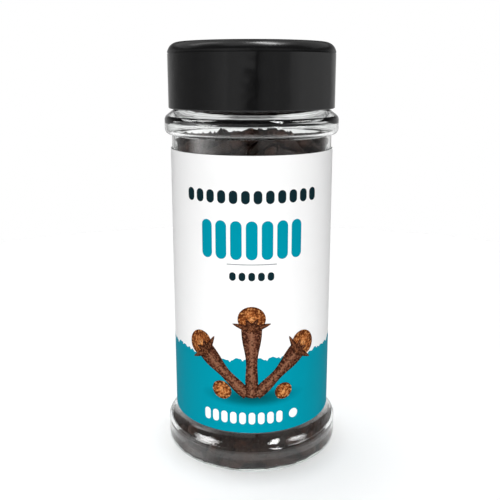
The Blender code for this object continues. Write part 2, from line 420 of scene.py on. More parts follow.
def inner_shoulder():
    """The inside of the shoulder, whose wall is thicker than the body's."""
    inner = BEAD_RADIUS - WALL
    through = [
        (inner, BEAD_TOP - 1.6 * MM),
        (inner - 0.3 * MM, BEAD_TOP - 0.8 * MM),
        (inner - 1.1 * MM, BEAD_TOP - 0.1 * MM),
        (NECK_RADIUS - WALL + 0.3 * MM, SHOULDER_TOP - 0.8 * MM),
        (NECK_RADIUS - WALL, SHOULDER_TOP + 0.3 * MM),
    ]
    return smooth_path(through, 3)


def make_jar():
    outside = [
        *base_curve(0.0),
        (RING_RADIUS, 0.0),
        *arc(FOOT_RADIUS - FOOT_CORNER, FOOT_CORNER, FOOT_CORNER, -90, 0, 6),
        *arc(FOOT_RADIUS - 0.4 * MM, FOOT_TOP - 0.5 * MM, 0.4 * MM, 0, 40, 3),
        *flare(0.0),
        (BODY_RADIUS, BEAD_BOTTOM - 0.2 * MM),
        *bead_curve(0.0),
        *shoulder(),
        (NECK_RADIUS, NECK_TOP),
    ]
    foot = FOOT_RADIUS - WALL
    inside = [
        (NECK_RADIUS - WALL, NECK_TOP),
        *reversed(inner_shoulder()),
        *reversed(bead_curve(WALL)),
        (BODY_RADIUS - WALL, BEAD_BOTTOM),
        *reversed(flare(WALL)),
        (foot, FOOT_TOP - 2 * WALL),
        (foot, 3.4 * MM),
        (FOOT_RADIUS - 0.5 * WALL, 1.6 * MM),
        *arc(FOOT_RADIUS - FOOT_CORNER, FOOT_CORNER, FOOT_CORNER - BASE_WALL, 0, -90, 5),
        (RING_RADIUS, BASE_WALL),
        *reversed(base_curve(BASE_WALL)),
    ]
    mesh = turned_mesh("jar_shell", outside + inside)
    return add_piece("jar_shell", mesh, clear_plastic(), "jar")


def make_cap():
    """The cap's skirt and its top plate, whose plug closes the narrow seam between them."""
    low, high = SKIRT_LOW[2], SKIRT_HIGH[2]
    inner = CAP_RADIUS - CAP_WALL
    edge = CAP_EDGE
    skirt = [
        (0.0, high - 1.2 * MM),
        (inner, high - 1.2 * MM),
        (inner, low + 0.2 * MM),
        *arc(inner + 0.2 * MM, low + 0.2 * MM, 0.2 * MM, 180, 270, 3),
        *arc(CAP_RADIUS - edge, low + edge, edge, -90, 0, 5),
        *arc(CAP_RADIUS - 0.3 * edge, high - 0.3 * edge, 0.3 * edge, 0, 90, 3),
        (0.0, high),
    ]
    finish = moulded_black("cap_plastic", 0.12)
    skirt_piece = add_piece("cap_shell", turned_mesh("cap_shell", skirt), finish, "cap_skirt")
    bottom, top = LID_LOW[2], LID_HIGH[2] - LID_DOME
    flat = CAP_RADIUS - LID_ROUND
    plug = CAP_RADIUS - 0.3 * MM
    lid = [
        (0.0, high),
        (plug, high),
        (plug, bottom),
        *arc(CAP_RADIUS - edge, bottom + edge, edge, -90, 0, 4),
        *arc(flat, top - LID_ROUND, LID_ROUND, 4, 80, 12),
        *[(flat * s, top + LID_DOME * (1 - s * s)) for s in np.linspace(0.9, 0.0, 8)],
    ]
    finish = moulded_black("lid_plastic", 0.23)
    lid_piece = add_piece("cap_top", turned_mesh("cap_top", lid), finish, "cap_lid")
    return [skirt_piece, lid_piece]


# The label and its print


def make_label():
    inner = BODY_RADIUS + 0.3 * MM
    low, high = LABEL_LOW[2], LABEL_HIGH[2]
    profile = [(inner, low), (LABEL_RADIUS, low), (LABEL_RADIUS, high), (inner, high)]
    white = printed_film("label_white", (0.86, 0.86, 0.86), (0.89, 0.89, 0.89))
    return add_piece("label_film", turned_mesh("label_film", profile), white, "label")


class Print:
    """Thin closed plates of ink on the label, and of painted shadow at its seam. A place is (distance round
    the front, height).
    """

    def __init__(self):
        self.points = []
        self.faces = []
        self.tones = []

    def grid(self, places, tones, lift, closed=False):
        """A plate over rows of places, one row after another round the label."""
        places = np.asarray(places, float)
        rows, count = places.shape[:2]
        start = len(self.points)
        for radius in (LABEL_RADIUS + lift * PRINT_LIFT, LABEL_RADIUS - 0.5 * PRINT_LIFT):
            angles = places[..., 0] / LABEL_RADIUS
            wrapped = np.stack([radius * np.sin(angles), -radius * np.cos(angles), places[..., 1]], -1)
            self.points.extend(wrapped.reshape(-1, 3).tolist())
            self.tones.extend(np.asarray(tones, float).ravel().tolist())
        layer = rows * count

        def at(row, column, under):
            return start + (row % rows) * count + column + under * layer

        for row in range(rows if closed else rows - 1):
            for column in range(count - 1):
                top = [at(row, column, 0), at(row + 1, column, 0), at(row + 1, column + 1, 0),
                       at(row, column + 1, 0)]
                self.faces.append(top)
                self.faces.append([i + layer for i in reversed(top)])
            for column, order in ((0, 1), (count - 1, -1)):
                side = [at(row, column, 0), at(row, column, 1), at(row + 1, column, 1),
                        at(row + 1, column, 0)]
                self.faces.append(side[::order])
        if not closed:
            for row, order in ((0, -1), (rows - 1, 1)):
                for column in range(count - 1):
                    side = [at(row, column, 0), at(row, column, 1), at(row, column + 1, 1),
                            at(row, column + 1, 0)]
                    self.faces.append(side[::order])

    def bar(self, left, right, low, high, corner, lift=1.0):
        """An upright rectangle with round corners."""
        columns = max(8, int((right - left) / (0.7 * MM)))
        turn = (1 - np.cos(np.linspace(0, math.pi / 2, 6))) * corner
        middle = np.linspace(left + corner, right - corner, columns)[1:-1]
        across = np.concatenate([left + turn, middle, right - turn[::-1]])
        depth = np.clip(np.minimum(across - left, right - across), 0, corner)
        cut = corner - np.sqrt(np.maximum(corner**2 - (corner - depth) ** 2, 0))
        cut = np.minimum(cut, 0.49 * (high - low))
        shares = np.linspace(0, 1, 4)
        heights = (low + cut)[:, None] + (high - low - 2 * cut)[:, None] * shares
        places = np.stack([np.repeat(across[:, None], 4, 1), heights], -1)
        self.grid(places, np.zeros(places.shape[:2]), lift)

    def row(self, count, left, right, low, high, gap, lift=1.0):
        """A row of even bars with round ends."""
        width = (right - left - gap * (count - 1)) / count
        for i in range(count):
            start = left + i * (width + gap)
            self.bar(start, start + width, low, high, 0.49 * min(width, high - low), lift)

    def disc(self, x, z, wide, tall, lift=1.0, lean=0.0, petals=0.0):
        """An oval, leaning clockwise by an angle, with its tone rising from its middle to its edge.

        petals is how much darker its four creases are."""
        rings = max(8, int(max(wide, tall) / (0.5 * MM)))
        turn = np.linspace(0, math.tau, 48, endpoint=False)[:, None]
        shares = np.linspace(0.02, 1, rings)
        across = wide * np.cos(turn) * shares
        along = tall * np.sin(turn) * shares
        places = np.stack([
            x + across * math.cos(lean) + along * math.sin(lean),
            z - across * math.sin(lean) + along * math.cos(lean),
        ], -1)
        crease = petals * np.abs(np.cos(2 * turn + 1.5 * shares)) ** 8 * np.minimum(1, 3 * shares)
        self.grid(places, np.clip(shares + crease, 0, 1), lift, closed=True)

    def blade(self, x, z, lean, reach, width, lift=1.0, steps=14):
        """A long shape from (x, z) that leans clockwise. width gives its half width by the share."""
        shares = np.linspace(0, 1, steps)
        across = np.linspace(-1, 1, 7)
        half = np.array([width(s) for s in shares])[:, None] * across
        along = reach * shares[:, None] + 0 * across
        places = np.stack([
            x + along * math.sin(lean) + half * math.cos(lean),
            z + along * math.cos(lean) - half * math.sin(lean),
        ], -1)
        self.grid(places, np.broadcast_to(np.abs(across), half.shape), lift)

    def finish(self, name, ink):
        mesh = bpy.data.meshes.new(name)
        mesh.from_pydata(self.points, [], self.faces)
        mesh.validate()
        tone = mesh.attributes.new("tone", "FLOAT", "POINT")
        tone.data.foreach_set("value", self.tones)
        bm = bmesh.new()
        bm.from_mesh(mesh)
        bmesh.ops.recalc_face_normals(bm, faces=bm.faces)
        bm.to_mesh(mesh)
        bm.free()
        return add_piece(name, mesh, ink)


def torn_height(angle):
    """Height of the coloured field's ragged upper edge, all the way round."""
    waves = (0.35, 5, 0.4), (0.3, 13, 2.1), (0.26, 29, 0.7), (0.18, 47, 3.3), (0.12, 83, 5.0)
    ragged = sum(size * np.sin(count * angle + start) for size, count, start in waves)
    notch = np.maximum(0, np.sin(37 * angle + 1.3 * np.sin(5 * angle))) ** 8
    return TORN_EDGE + (0.8 * ragged - 0.6 * notch) * MM


def print_field(teal):
    field = Print()
    angles = np.linspace(0, math.tau, 900, endpoint=False)
    low = LABEL_LOW[2]
    shares = np.linspace(0, 1, 5)
    heights = low + (torn_height(angles) - low)[:, None] * shares
    places = np.stack([np.repeat(angles[:, None] * LABEL_RADIUS, 5, 1), heights], -1)
    field.grid(places, np.zeros(places.shape[:2]), 1.0, closed=True)
    return field.finish("print_field", teal)


def print_bars(teal, navy, grey, white):
    """Rows of plain bars on the label's front, and at its back a thin grey line of painted shadow where the
    label's ends meet.
    """
    title, heading, rule, weight, seam = Print(), Print(), Print(), Print(), Print()
    title.row(7, -14.4 * MM, 14.4 * MM, 61.9 * MM, 72.6 * MM, 1.1 * MM)
    heading.row(12, -19.4 * MM, 19.4 * MM, 77.2 * MM, 80.8 * MM, 1.0 * MM)
    heading.row(5, -6.2 * MM, 6.2 * MM, 56.0 * MM, 58.4 * MM, 0.8 * MM)
    rule.bar(-6.9 * MM, 6.9 * MM, 60.48 * MM, 60.72 * MM, 0.1 * MM)
    weight.row(9, -14.2 * MM, 9.0 * MM, 13.6 * MM, 17.2 * MM, 0.8 * MM, 2.0)
    weight.disc(12.5 * MM, 15.6 * MM, 1.4 * MM, 1.4 * MM, 2.0)
    back = math.pi * LABEL_RADIUS
    # Painted shadow: a thin grey line down the back stands for the shadow of the label's overlapping end
    seam.bar(back - 0.1 * MM, back + 0.1 * MM, LABEL_LOW[2], LABEL_HIGH[2], 0.05 * MM, 1.5)
    return [
        title.finish("print_title", teal), heading.finish("print_heading", navy),
        rule.finish("print_rule", grey), weight.finish("print_weight", white),
        seam.finish("label_seam_shadow", grey),
    ]


def print_sprig(stems, cups, buds, lean_degrees, reach, lift):
    """A stem with a round bud in a cup of four points."""
    lean = math.radians(lean_degrees)
    sine, cosine = math.sin(lean), math.cos(lean)
    x, z = 0.1 * reach * sine * MM, 22.6 * MM
    stems.blade(x, z, lean, reach * MM, lambda s: (1.5 + 0.25 * math.sin(9 * s) + 1.3 * s**2) * MM, lift)
    top_x, top_z = x + reach * MM * sine, z + reach * MM * cosine
    buds.disc(top_x + 3.0 * MM * sine, top_z + 3.0 * MM * cosine, 3.9 * MM, 3.6 * MM, lift + 0.3, lean, 0.3)
    for side in (-74, 74, -28, 28):
        petal = lean + math.radians(side)
        reach_out = (5.6 if abs(side) > 50 else 3.6) * MM
        cups.blade(top_x, top_z, petal, reach_out, lambda s: 1.25 * MM * (1 - s) ** 0.7, lift + 0.6)


def print_motif(teal_colours):
    """A fan of plain sprigs with round buds, two loose buds, and a soft shadow under them."""
    shadow, stems, cups, buds = Print(), Print(), Print(), Print()
    shadow.disc(0.4 * MM, 21.9 * MM, 16.0 * MM, 3.4 * MM, 2.0)
    stems.disc(0.0, 22.9 * MM, 2.6 * MM, 1.2 * MM, 2.7)
    for lean_degrees, reach, lift in ((-46, 17.0, 3.0), (46, 17.0, 4.0), (0, 19.5, 5.0)):
        print_sprig(stems, cups, buds, lean_degrees, reach, lift)
    buds.disc(-8.6 * MM, 23.6 * MM, 2.9 * MM, 2.6 * MM, 6.0, 0.5, 0.3)
    buds.disc(9.2 * MM, 23.2 * MM, 2.6 * MM, 2.4 * MM, 6.0, -0.4, 0.3)
    ink, other = teal_colours
    return [
        shadow.finish("print_shadow", printed_shadow("ink_shadow", ink, other, (0.0, 0.06, 0.07))),
        stems.finish("print_stems", printed_spice(
            "ink_stem", (0.028, 0.009, 0.005), (0.115, 0.037, 0.02), (0.26, 0.115, 0.065))),
        cups.finish("print_cups", printed_spice(
            "ink_cup", (0.022, 0.007, 0.004), (0.075, 0.024, 0.011), (0.2, 0.075, 0.035))),
        buds.finish("print_buds", printed_spice(
            "ink_bud", (0.1, 0.022, 0.006), (0.38, 0.11, 0.028), (0.7, 0.32, 0.11))),
    ]


def make_print():
    teal_colours = (0.0, 0.258, 0.345), (0.0, 0.272, 0.365)
    teal = printed_film("ink_teal", *teal_colours)
    navy = printed_film("ink_navy", (0.004, 0.016, 0.022), (0.007, 0.024, 0.031))
    grey = printed_film("grey_ink_and_seam_shadow", (0.22, 0.24, 0.25), (0.28, 0.3, 0.31))
    white = printed_film("ink_white", (0.84, 0.85, 0.85), (0.88, 0.89, 0.89))
    return [print_field(teal), *print_bars(teal, navy, grey, white), *print_motif(teal_colours)]


# Cloves


CLOVE_SIDES = 16
BEADS = 6
KINDS = ("whole", "open", "bud", "stalk")
KIND_SHARES = (0.74, 0.13, 0.07, 0.06)


def ring_stack(rings):
    """(points, faces) of rings of points that are joined in turn and closed at both ends."""
    count, sides = len(rings), len(rings[0])
    points = np.vstack([np.vstack(rings), rings[0].mean(0), rings[-1].mean(0)])
    faces = []
    for row in range(count - 1):
        for i in range(sides):
            j = (i + 1) % sides
            low, high = row * sides, (row + 1) * sides
            faces.append((low + i, low + j, high + j, high + i))
    first, last = count * sides, count * sides + 1
    top = (count - 1) * sides
    for i in range(sides):
        j = (i + 1) % sides
        faces.append((first, j, i))
        faces.append((last, top + i, top + j))
    return points, faces


def clove_shape(draw, with_bud):
    """(points, faces, tones) of a clove along Z in millimetres, from its stem's end at zero."""
    turn = np.arange(CLOVE_SIDES) * math.tau / CLOVE_SIDES
    lobes = np.cos(2 * turn) ** 6
    stem = draw.uniform(7.5, 10.5)
    thick = draw.uniform(0.85, 1.15)
    spread = draw.uniform(0.45, 0.8)
    bud = draw.uniform(1.6, 2.15)
    # Each ring is its height, its radius, how far its four points stand out, and its tone
    rings = [
        (0.0, 0.7 * thick, 0.0, 0.1), (0.25, 0.95 * thick, 0.0, 0.15), (0.2 * stem, 1.0 * thick, 0.0, 0.2),
        (0.45 * stem, 1.15 * thick, 0.0, 0.3), (0.7 * stem, 1.4 * thick, 0.05, 0.35),
        (0.9 * stem, 1.75 * thick, 0.1, 0.4), (stem, 1.75 * thick, 0.5 * spread, 0.35),
        (stem + 0.55, 1.8 * thick, 1.45 * spread, 0.3), (stem + 1.15, 1.85 * thick, 1.75 * spread, 0.55),
        (stem + 1.3, 1.7 * thick, 1.2 * spread, 0.4),
    ]
    if with_bud:
        base = stem + 1.9
        rings += [
            (base - 0.65, 0.85 * bud, 0.15, 0.25), (base, bud, 0.0, 0.7),
            (base + 0.55 * bud, 0.93 * bud, 0.0, 0.9), (base + 0.95 * bud, 0.66 * bud, 0.0, 1.0),
            (base + 1.2 * bud, 0.3 * bud, 0.0, 0.85),
        ]
    else:
        rings += [
            (stem + 0.9, 1.4 * thick, 0.3, 0.2), (stem + 0.6, 1.1 * thick, 0.0, 0.1),
            (stem + 0.75, 0.55 * thick, 0.0, 0.3), (stem + 1.6, 0.3 * thick, 0.0, 0.5),
            (stem + 2.2, 0.2 * thick, 0.0, 0.6),
        ]
    bend = draw.normal(0.0, 0.45, 2)
    length = rings[-1][0]
    starts = draw.uniform(0, math.tau, 3)
    made, tones = [], []
    for z, r, lobe, tone in rings:
        wobble = sum(0.05 * np.sin((k + 1) * turn + a + z * (0.9 + 0.8 * k)) for k, a in enumerate(starts))
        radius = r * (1 + 0.05 * np.cos(4 * turn)) + lobe * lobes + wobble * min(r, 1.2)
        centre = bend * (z / length) ** 2
        x, y = centre[0] + radius * np.cos(turn), centre[1] + radius * np.sin(turn)
        made.append(np.stack([x, y, z + 0.35 * lobe * lobes], 1))
        tones.append(tone + 0.25 * lobe * lobes)
    points, faces = ring_stack(made)
    return points, faces, np.concatenate([*tones, [rings[0][3]], [rings[-1][3]]])


def bud_shape(draw):
    """A loose bud: a small ball of four petals."""
    turn = np.arange(CLOVE_SIDES) * math.tau / CLOVE_SIDES
    size = draw.uniform(1.5, 2.0)
    made, tones = [], []
    for z, r in ((-0.8, 0.45), (-0.6, 0.75), (-0.2, 0.98), (0.25, 0.97), (0.65, 0.76), (0.9, 0.4)):
        radius = size * r * (1 - 0.07 * np.cos(4 * turn + 2.5 * z))
        made.append(np.stack([radius * np.cos(turn), radius * np.sin(turn), size * z + 0 * turn], 1))
        tones.append(0.75 + 0.2 * z + 0 * turn)
    points, faces = ring_stack(made)
    return points, faces, np.concatenate([*tones, [0.6], [0.9]])


def stalk_shape(draw):
    """A bare stalk, thin and bent."""
    turn = np.arange(CLOVE_SIDES) * math.tau / CLOVE_SIDES
    length = draw.uniform(5.0, 9.0)
    bend = draw.normal(0, 0.7)
    made, tones = [], []
    rings = (0.0, 0.5), (0.05, 0.75), (0.3, 0.7), (0.6, 0.75), (0.9, 0.9), (1.0, 1.15), (1.04, 0.8)
    for share, r in rings:
        radius = r * (1 + 0.12 * np.cos(2 * turn + 3 * share))
        x = bend * share**2 + radius * np.cos(turn)
        made.append(np.stack([x, radius * np.sin(turn), length * share + 0 * turn], 1))
        tones.append(0.3 + 0.3 * share + 0 * turn)
    points, faces = ring_stack(made)
    return points, faces, np.concatenate([*tones, [0.3], [0.5]])


def bead_row(kind, length):
    """Six balls that stand for a clove while the heap settles: (places along it, radii)."""
    if kind == "bud":
        return np.linspace(-0.05, 0.05, BEADS) * length, np.full(BEADS, 0.5 * length)
    shares = np.array([0.08, 0.26, 0.43, 0.6, 0.75, 0.87])
    radii = {
        "whole": np.array([0.95, 1.05, 1.25, 1.6, 2.25, 1.85]),
        "open": np.array([0.95, 1.05, 1.25, 1.65, 2.1, 1.4]),
        "stalk": np.full(BEADS, 0.8),
    }[kind]
    return shares * length, radii


def room_radius(z):
    """How far from the axis a clove may reach at height z, inside the jar's wall."""
    foot = FOOT_RADIUS - WALL - CLOVE_GAP
    body = BODY_RADIUS - WALL - CLOVE_GAP
    bead = BEAD_RADIUS - WALL - CLOVE_GAP
    heights = [
        BASE_WALL, FOOT_CORNER, 1.6 * MM, 3.4 * MM, FOOT_TOP - 2.4 * WALL, FOOT_TOP - 0.6 * WALL,
        BODY_BOTTOM - 1.8 * WALL, BEAD_BOTTOM + 0.4 * MM, BEAD_BOTTOM + BEAD_ROUND,
    ]
    corner = FOOT_RADIUS - BASE_WALL - CLOVE_GAP
    radii = [corner - 0.58 * MM, corner, foot + 0.4 * WALL, foot, foot, body + 1.2 * MM, body, body, bead]
    return np.interp(z, heights, radii)


def room_floor(r):
    share = np.minimum(r / BASE_RADIUS, 1.0)
    dome = BASE_EDGE + (BASE_RISE - BASE_EDGE) * np.cos(share * math.pi / 2)
    edge = np.interp(r, (BASE_RADIUS, RING_RADIUS), (BASE_EDGE, 0.0))
    return np.where(r <= BASE_RADIUS, dome, edge) + BASE_WALL + CLOVE_GAP


def near_pairs(beads, radii, owner):
    """Pairs of beads of different cloves that are close enough to meet soon."""
    first, second = np.triu_indices(len(beads), 1)
    keep = owner[first] != owner[second]
    first, second = first[keep], second[keep]
    apart = np.linalg.norm(beads[first] - beads[second], axis=1)
    keep = apart < radii[first] + radii[second] + NEAR_GAP
    return first[keep], second[keep]


def settle(centres, axes, rows, radii, floor, core, ceiling):
    """Rows of beads that sink, and are moved until they lie clear of each other inside the jar.

    floor gives the lowest height by radius, core the least radius by height, and ceiling the
    greatest height by x and y."""
    count = len(centres)
    owner = np.repeat(np.arange(count), BEADS)
    sizes = radii.ravel()
    for step in range(SETTLE_STEPS):
        beads = (centres[:, None] + axes[:, None] * rows[..., None]).reshape(-1, 3)
        if step % STEPS_BETWEEN_SEARCHES == 0:
            first, second = near_pairs(beads, sizes, owner)
            reach = sizes[first] + sizes[second]
        way = beads[first] - beads[second]
        gap = np.linalg.norm(way, axis=1)
        overlap = np.clip(reach - gap, 0, None)
        push = way * (PUSH_SHARE * overlap / np.maximum(gap, LEAST_LENGTH))[:, None]
        for i in range(3):
            beads[:, i] += np.bincount(first, push[:, i], len(beads))
            beads[:, i] -= np.bincount(second, push[:, i], len(beads))
        beads[:, 2] -= SINK_STEP * (1 - step / SETTLE_STEPS)
        r = np.maximum(np.hypot(beads[:, 0], beads[:, 1]), LEAST_LENGTH)
        wanted = np.minimum(np.maximum(r, core(beads[:, 2])), room_radius(beads[:, 2]) - sizes)
        beads[:, :2] *= (wanted / r)[:, None]
        beads[:, 2] = np.maximum(beads[:, 2], floor(wanted) + sizes)
        beads[:, 2] = np.minimum(beads[:, 2], ceiling(beads[:, 0], beads[:, 1]) - sizes)
        beads = beads.reshape(count, BEADS, 3)
        centres = beads.mean(1)
        axes = ((beads - centres[:, None]) * rows[..., None]).sum(1)
        axes /= np.maximum(np.linalg.norm(axes, axis=1), 1e-12)[:, None]
    return centres, axes


def turn_to(axis, spin):
    """The 3 by 3 matrix that turns Z to axis, after a spin about Z."""
    helper = np.array([0.0, 0.0, 1.0]) if abs(axis[2]) < 0.9 else np.array([1.0, 0.0, 0.0])
    side = np.cross(helper, axis)
    side /= np.linalg.norm(side)
    up = np.cross(axis, side)
    first = math.cos(spin) * side + math.sin(spin) * up
    return np.stack([first, np.cross(axis, first), axis], 1)


def pile(draw, count, low, high, floor, core, ceiling):
    """Cloves settled from places between two heights: a list of (kind, points, faces, tones)."""
    shapes, rows, radii = [], [], []
    for kind in draw.choice(KINDS, count, p=KIND_SHARES):
        if kind == "bud":
            shape = bud_shape(draw)
        elif kind == "stalk":
            shape = stalk_shape(draw)
        else:
            shape = clove_shape(draw, kind == "whole")
        length = shape[0][:, 2].max() - shape[0][:, 2].min()
        row, row_radii = bead_row(kind, length)
        middle = row.mean() + shape[0][:, 2].min() * (kind != "bud")
        shapes.append((str(kind), (shape[0] - [0, 0, middle]) * MM, shape[1], shape[2]))
        rows.append((row - row.mean()) * MM)
        radii.append(row_radii * MM)
    around = draw.uniform(0, math.tau, count)
    z = draw.uniform(low, high, count)
    r = room_radius(z) * np.sqrt(draw.uniform(0.0, 0.9, count))
    centres = np.stack([r * np.cos(around), r * np.sin(around), z], 1)
    axes = draw.normal(0, 1, (count, 3)) * [1, 1, 0.5]
    axes /= np.linalg.norm(axes, axis=1)[:, None]
    centres, axes = settle(centres, axes, np.array(rows), np.array(radii), floor, core, ceiling)
    found = []
    for (kind, points, faces, tones), centre, axis in zip(shapes, centres, axes):
        placed = points @ turn_to(axis, draw.uniform(0, math.tau)).T + centre
        r = np.hypot(placed[:, 0], placed[:, 1])
        placed[:, :2] *= np.minimum(1, room_radius(placed[:, 2]) / np.maximum(r, LEAST_LENGTH))[:, None]
        r = np.hypot(placed[:, 0], placed[:, 1])
        placed[:, 2] = np.clip(placed[:, 2], room_floor(r), HEAP_TOP)
        # Painted light: the cloves' tone is raised towards the base
        painted_light = np.interp(placed[:, 2], BASE_PAINTED_LIGHT_HEIGHTS, (BASE_PAINTED_LIGHT, 0.0))
        found.append((kind, placed, faces, np.clip(tones + draw.normal(0, 0.14) + painted_light, 0, 1)))
    return found


def joined_mesh(name, parts):
    """One mesh of many small shapes, with the tone of each point kept as an attribute."""
    points = np.vstack([placed for _, placed, _, _ in parts])
    faces, start = [], 0
    for _, placed, own_faces, _ in parts:
        faces.extend([tuple(start + i for i in face) for face in own_faces])
        start += len(placed)
    mesh = bpy.data.meshes.new(name)
    mesh.from_pydata(points.tolist(), [], faces)
    tone = mesh.attributes.new("tone", "FLOAT", "POINT")
    tone.data.foreach_set("value", np.concatenate([tones for _, _, _, tones in parts]))
    mesh.shade_smooth()
    return mesh


def core_radius(z):
    """The radius of the heap's solid inside at height z. It comes out to the wall at the base."""
    return room_radius(z) - np.interp(z, (1.6 * MM, 3.4 * MM), (0.05 * MM, CORE_DEPTH))


def high_floor(r):
    """What the upper pile rests on, by radius: the core's top, or the cloves beside it."""
    return np.where(r < core_radius(CORE_TOP), CORE_TOP, HIGH_PILE_BOTTOM)


def high_ceiling(x, y):
    """The upper pile's top: lower towards the back and towards both sides."""
    return HEAP_MIDDLE - HEAP_SLOPE * y - HEAP_FALL * np.clip((np.abs(x) - 8 * MM) / (4 * MM), 0, 1)


def low_ceiling(x, y):
    """The lower pile's top, which is level."""
    return np.full(len(x), LOW_PILE_ROOM)


def low_core(z):
    """The least radius at which the lower pile's cloves lie. Near the base they lie anywhere."""
    return np.where(z > 4.5 * MM, core_radius(z), 0.0)


def high_core(z):
    """The least radius at which the upper pile's cloves lie. Over the core they lie anywhere."""
    return np.where(z < CORE_TOP, core_radius(z), 0.0)


def make_heap():
    draw = np.random.default_rng(7)
    parts = pile(draw, LOW_PILE_CLOVES, 2 * MM, LOW_PILE_ROOM, room_floor, low_core, low_ceiling)
    parts += pile(
        draw, HIGH_PILE_CLOVES, HIGH_PILE_BOTTOM, HEAP_MIDDLE, high_floor, high_core, high_ceiling
    )
    finishes = {
        "whole": clove_skin("clove_brown", (0.0028, 0.0017, 0.0013), (0.034, 0.0125, 0.0068), 0.5),
        "open": clove_skin("clove_dark_brown", (0.0025, 0.0016, 0.0012), (0.026, 0.0105, 0.0062), 0.55),
        "bud": clove_skin("clove_bud_brown", (0.008, 0.0035, 0.0022), (0.055, 0.019, 0.0088), 0.45),
        "stalk": clove_skin("clove_stalk_brown", (0.0035, 0.0022, 0.0017), (0.028, 0.0135, 0.0085), 0.6),
    }
    pieces = []
    for kind in KINDS:
        own = [part for part in parts if part[0] == kind]
        mesh = joined_mesh(f"cloves_{kind}", own)
        pieces.append(add_piece(f"cloves_{kind}", mesh, finishes[kind], "cloves"))
    return [*pieces, make_core()]


def make_core():
    """The heap's inside, behind the cloves that show: a solid in the darkest clove colour, as painted shade
    for the cloves deep in the heap.
    """
    side = [0.5, 0.9, 1.3, 2.0, 2.8, 3.7, 4.6, 5.6, 6.6, 7.6, 8.6, 9.6, 10.6, 11.8, 13.0]
    low = [(core_radius(z * MM), z * MM) for z in side]
    full = BODY_RADIUS - WALL - 0.5 * MM
    middle = [(full, z) for z in np.linspace(LOW_PILE_TOP + 1 * MM, HIGH_PILE_BOTTOM - 1 * MM, 30)]
    high = [(core_radius(z), z) for z in np.linspace(HIGH_PILE_BOTTOM, CORE_TOP - 1 * MM, 6)]
    floor = [(r * MM, room_floor(r * MM) + 0.2 * MM) for r in (0.0, 5.0, 10.0, 15.0, 19.0, 21.5)]
    top = [(r * MM, CORE_TOP) for r in (18.0, 12.0, 6.0, 0.0)]
    mesh = turned_mesh("heap_core", [*floor, *low, *middle, *high, *top], 120)
    for vertex in mesh.vertices:
        x, y, z = vertex.co
        lump = math.sin(x * 900 + z * 300) * math.cos(y * 800 - z * 420)
        lump += 0.6 * math.sin(z * 1300 + x * 700)
        vertex.co.xy *= 1 - CORE_LUMP * (1.6 + lump)
    # Painted shade: with no tone attribute, the core takes the darkest of these clove colours
    finish = clove_skin("heap_shade", (0.003, 0.0018, 0.0014), (0.02, 0.009, 0.006), 0.7)
    return add_piece("heap_core", mesh, finish, "cloves")


# Stage


def make_floor():
    bm = bmesh.new()
    bmesh.ops.create_circle(bm, cap_ends=True, segments=96, radius=FLOOR_RADIUS)
    mesh = bpy.data.meshes.new("floor")
    bm.to_mesh(mesh)
    bm.free()
    mesh.materials.append(floor_paint())
    floor = bpy.data.objects.new("floor", mesh)
    floor.location.z = -FLOOR_DROP
    scene.collection.objects.link(floor)
    return floor


# How bright the studio's walls are by direction in degrees: 0 is the front, and 90 the right
STUDIO_WALLS = (
    (-180, 0.52), (-164, 0.5), (-150, 0.36), (-140, 0.33), (-126, 0.25), (-112, 0.19), (-80, 0.18),
    (-60, 0.25), (-37, 0.45), (-34, 0.53), (-31, 0.39), (-20, 0.42), (-9, 0.48), (7, 0.48), (9.5, 0.31),
    (11, 0.14), (16, 0.25), (31, 0.25), (33, 0.37), (35, 0.21), (38, 0.3), (40, 0.24), (50, 0.3),
    (60, 0.15), (70, 0.12), (112, 0.12), (128, 0.2), (140, 0.33), (150, 0.38), (164, 0.5), (180, 0.52),
)
STUDIO_PEAK = 0.65
CEILING_LEVEL = 0.06
FILL_LEVEL = 0.22
STRIP_LEVEL = 0.07
STAND_RIGHT = math.radians(8.6)


def stand_shade(w, angle, rise):
    """The share of the walls' light that is left by a dark stand in front of the jar.

    The stand is wider and softer lower down, and open at the height of the jar's shoulder and
    at its foot. rise is the direction's Z."""
    left = w.range(rise, math.radians(-5.5), math.radians(6.5), -0.02, 0.02)
    soft = w.range(rise, math.radians(14), math.radians(3), -0.02, 0.02)
    left_share = w.math("DIVIDE", w.math("SUBTRACT", left, angle), soft)
    right_share = w.math("DIVIDE", w.math("SUBTRACT", angle, STAND_RIGHT), math.radians(1.6))
    beside = w.range(w.math("MAXIMUM", left_share, right_share), 0.0, 1.0)
    gap = w.math(
        "MINIMUM", w.range(rise, 1.0, 0.0, -0.071, -0.067), w.range(rise, 0.0, 1.0, -0.079, -0.075)
    )
    foot = w.range(rise, 1.0, 0.0, -0.16, -0.13)
    return w.math("MAXIMUM", beside, w.math("MAXIMUM", gap, foot))


def backdrop_light(w, way):
    """What shows through the jar: a white backdrop with one dark strip up it and one across it."""
    aside = w.range(w.math("ABSOLUTE", w.math("DIVIDE", way["X"], way["Y"])), 0.0, 1.0, 0.035, 0.065)
    under_strip = w.range(way["Z"], 1.0, 0.0, -0.0745, -0.0725)
    below = w.math("MINIMUM", under_strip, w.range(way["Z"], 0.0, 1.0, -0.1, -0.09))
    over = w.range(way["Z"], 0.0, 1.0, 0.0, 0.1)
    beside_strip = w.math(
        "MAXIMUM", w.range(way["Z"], 1.0, 0.0, 0.035, 0.06), w.range(way["Z"], 0.0, 1.0, 0.15, 0.2)
    )
    bright = w.math("MAXIMUM", aside, w.math("MAXIMUM", below, over))
    return w.range(w.math("MINIMUM", bright, beside_strip), STRIP_LEVEL, 1.0)


